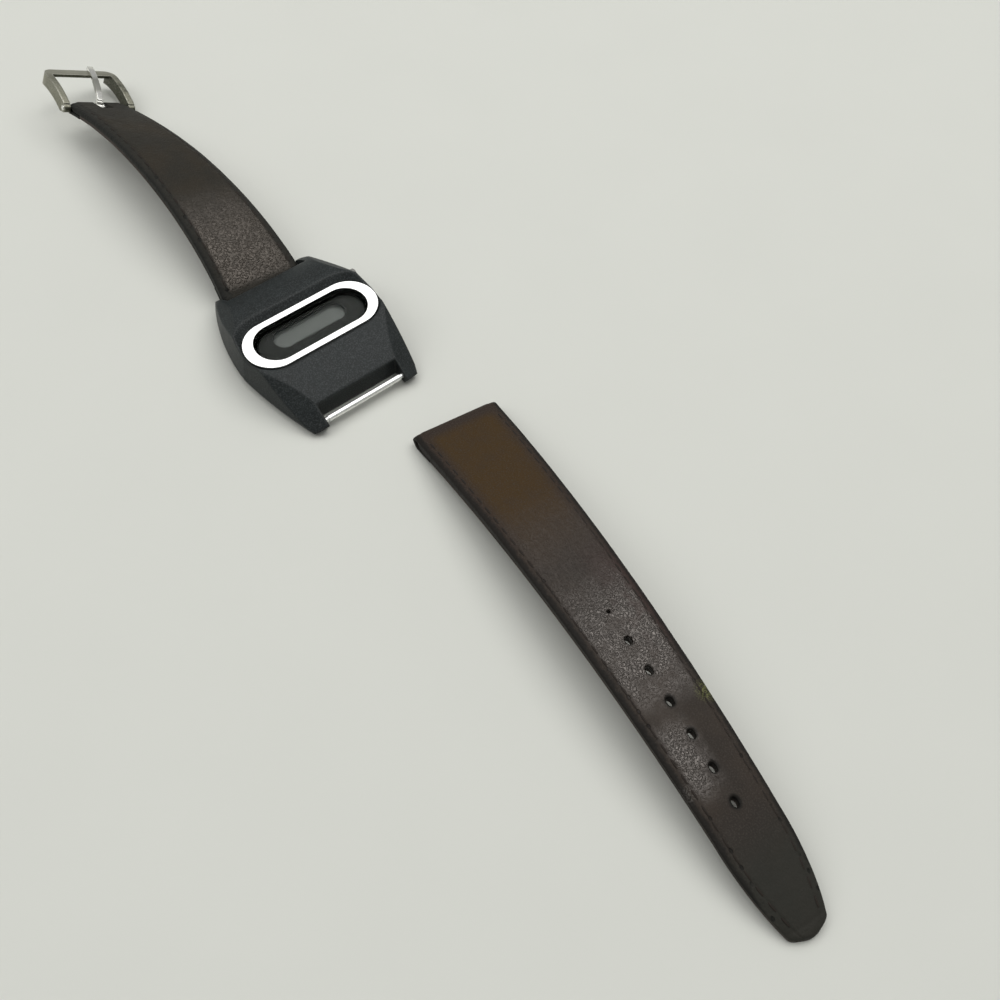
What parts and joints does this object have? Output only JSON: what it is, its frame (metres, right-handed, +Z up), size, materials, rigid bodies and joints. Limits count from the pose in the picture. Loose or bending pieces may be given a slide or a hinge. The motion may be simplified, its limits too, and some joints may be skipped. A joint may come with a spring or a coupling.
{
  "type": "lcd watch",
  "caption": "Wristwatch with a moulded case, a stadium-shaped display under a polished ring, a side pusher, sprung strap bars and a two-part leather strap with a buckle.",
  "frame": {"origin": "centre of the case back's outer face, on the table the watch lies on", "axes": "+X towards the pusher at 3 o'clock, +Y towards 12 o'clock and the buckle, +Z up out of the display"},
  "size_m": [0.0389, 0.2625, 0.0139],
  "materials": {
    "case_plastic": "moulded, satin matt",
    "ring_chrome": "polished",
    "crystal_glass": "clear and glossy",
    "seal_rubber": "matt",
    "mask_print": "dark print",
    "display_glass": "grey-green",
    "reflector_film": "satin",
    "connector_rubber": "matt, striped",
    "frame_plastic": "moulded",
    "board_laminate": "printed laminate",
    "resin": "glossy drop",
    "can_steel": "drawn",
    "brass_plate": "plated",
    "cell_steel": "plated",
    "sheet_film": "thin film",
    "back_steel": "brushed",
    "pusher_steel": "worn plating",
    "spring_steel": "wire",
    "bar_steel": "bright",
    "strap_leather": "worn dark brown grain",
    "lining_leather": "plain, split side",
    "tail_leather": "worn dark brown grain",
    "buckle_steel": "satin plated",
    "buckle_bar_steel": "bright"
  },
  "bodies": {
    "case": {"case_body": "case_plastic", "bezel_ring": "ring_chrome", "crystal": "crystal_glass", "crystal_seal": "seal_rubber", "display_mask": "mask_print", "front_polariser": "display_glass", "lcd_front_glass": "display_glass", "lcd_rear_glass": "display_glass", "lcd_reflector": "reflector_film", "connector_upper": "connector_rubber", "connector_lower": "connector_rubber", "lcd_holder": "frame_plastic", "circuit_board": "board_laminate", "watch_chip": "resin", "quartz_can": "can_steel", "trimmer_body": "frame_plastic", "pusher_contact": "brass_plate", "module_base": "frame_plastic", "battery_cell_left": "cell_steel", "battery_cell_right": "cell_steel", "cell_strip": "brass_plate", "strip_screws": "can_steel", "insulating_sheet": "sheet_film", "case_back": "back_steel", "case_back_seal": "seal_rubber", "pusher_spring": "spring_steel", "pusher_seal": "seal_rubber"},
    "trimmer": {"trimmer_rotor": "brass_plate"},
    "pusher": {"pusher": "pusher_steel", "pusher_clip": "spring_steel"},
    "upper_bar": {"upper_bar_tube": "bar_steel", "upper_bar_spring": "spring_steel"},
    "upper_pin_left": {"upper_bar_pin_left": "bar_steel"},
    "upper_pin_right": {"upper_bar_pin_right": "bar_steel"},
    "lower_bar": {"lower_bar_tube": "bar_steel", "lower_bar_spring": "spring_steel"},
    "lower_pin_left": {"lower_bar_pin_left": "bar_steel"},
    "lower_pin_right": {"lower_bar_pin_right": "bar_steel"},
    "buckle_strap": {"buckle_strap_top": "strap_leather", "buckle_strap_lining": "lining_leather"},
    "buckle": {"buckle_frame": "buckle_steel", "buckle_bar": "buckle_bar_steel"},
    "tongue": {"buckle_tongue": "buckle_bar_steel"},
    "tail_strap": {"tail_strap_top": "tail_leather", "tail_strap_lining": "lining_leather"}
  },
  "joints": [
    {"name": "trimmer_turn", "type": "hinge", "parent": "case", "child": "trimmer", "pos_m": [-0.0066, 0.0079, 0.003], "axis": [0, 0, 1], "continuous": true},
    {"name": "pusher_press", "type": "slide", "parent": "case", "child": "pusher", "axis": [-1, 0, 0], "range_m": [0, 0.0006], "stiffness_N_per_m": 800, "springref_m": -0.0008},
    {"name": "upper_bar_spin", "type": "hinge", "parent": "case", "child": "upper_bar", "pos_m": [0, 0.0197, 0.0023], "axis": [1, 0, 0], "continuous": true},
    {"name": "upper_pin_left_press", "type": "slide", "parent": "upper_bar", "child": "upper_pin_left", "axis": [1, 0, 0], "range_m": [0, 0.0013], "stiffness_N_per_m": 600, "springref_m": -0.001},
    {"name": "upper_pin_right_press", "type": "slide", "parent": "upper_bar", "child": "upper_pin_right", "axis": [-1, 0, 0], "range_m": [0, 0.0013], "stiffness_N_per_m": 600, "springref_m": -0.001},
    {"name": "lower_bar_spin", "type": "hinge", "parent": "case", "child": "lower_bar", "pos_m": [0, -0.0197, 0.0023], "axis": [1, 0, 0], "continuous": true},
    {"name": "lower_pin_left_press", "type": "slide", "parent": "lower_bar", "child": "lower_pin_left", "axis": [1, 0, 0], "range_m": [0, 0.0013], "stiffness_N_per_m": 600, "springref_m": -0.001},
    {"name": "lower_pin_right_press", "type": "slide", "parent": "lower_bar", "child": "lower_pin_right", "axis": [-1, 0, 0], "range_m": [0, 0.0013], "stiffness_N_per_m": 600, "springref_m": -0.001},
    {"name": "strap_swing", "type": "hinge", "parent": "case", "child": "buckle_strap", "pos_m": [0, 0.0197, 0.0023], "axis": [1, 0, 0], "range_deg": [-100, 60]},
    {"name": "buckle_swing", "type": "hinge", "parent": "buckle_strap", "child": "buckle", "pos_m": [-0.0007, 0.0932, 0.0055], "axis": [0.9123, -0.0478, -0.4067], "range_deg": [-60, 50]},
    {"name": "tongue_swing", "type": "hinge", "parent": "buckle", "child": "tongue", "pos_m": [-0.0007, 0.0932, 0.0055], "axis": [0.9123, -0.0478, -0.4067], "range_deg": [0, 40]},
    {"name": "tail_strap_lift", "type": "slide", "parent": "case", "child": "tail_strap", "axis": [0, 0, 1], "range_m": [0, 0.06]}
  ]
}
